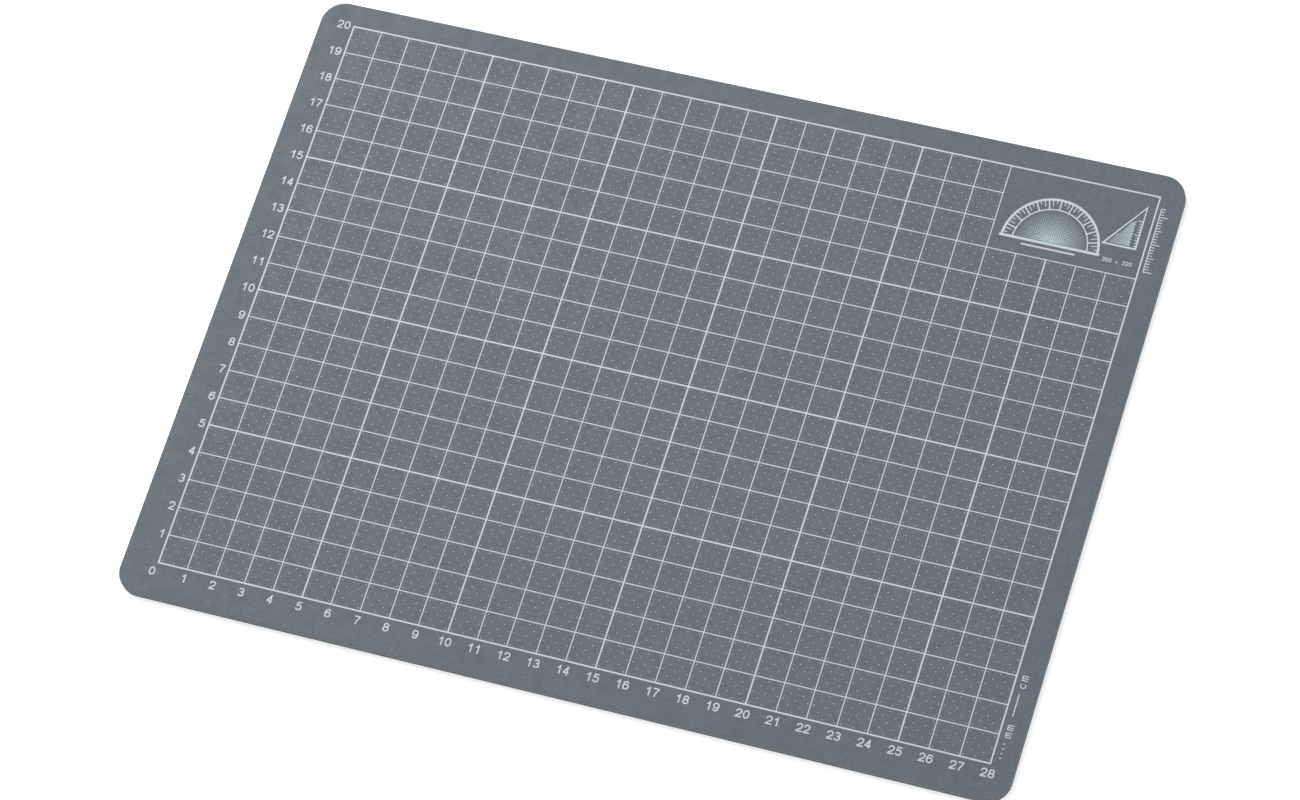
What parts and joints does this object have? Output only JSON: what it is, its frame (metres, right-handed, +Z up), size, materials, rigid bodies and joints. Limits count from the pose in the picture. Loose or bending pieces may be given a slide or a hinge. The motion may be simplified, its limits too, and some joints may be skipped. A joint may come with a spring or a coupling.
{
  "type": "self-healing cutting mat",
  "caption": "Thin laminated cutting mat with rounded corners, soft healing faces, a hard core and a printed centimetre grid.",
  "frame": {"origin": "centre of the underside, on the surface that the mat lies on", "axes": "+Z up out of the work side, +X along the long side in the direction the bottom scale counts, +Y along the short side in the direction the left scale counts"},
  "size_m": [0.3, 0.22, 0.003],
  "materials": {
    "healing_pvc": "matte blue-grey soft PVC with a fine calendered grain",
    "tie_pvc": "plain die-cut edge of semi-rigid PVC",
    "core_pvc": "plain die-cut edge of rigid dark PVC",
    "grid_ink": "thin matte off-white screen-printed ink"
  },
  "bodies": {
    "root": {"top_healing_ply": "healing_pvc", "upper_tie_ply": "tie_pvc", "core_ply": "core_pvc", "lower_tie_ply": "tie_pvc", "bottom_healing_ply": "healing_pvc", "grid_print": "grid_ink"}
  },
  "joints": []
}
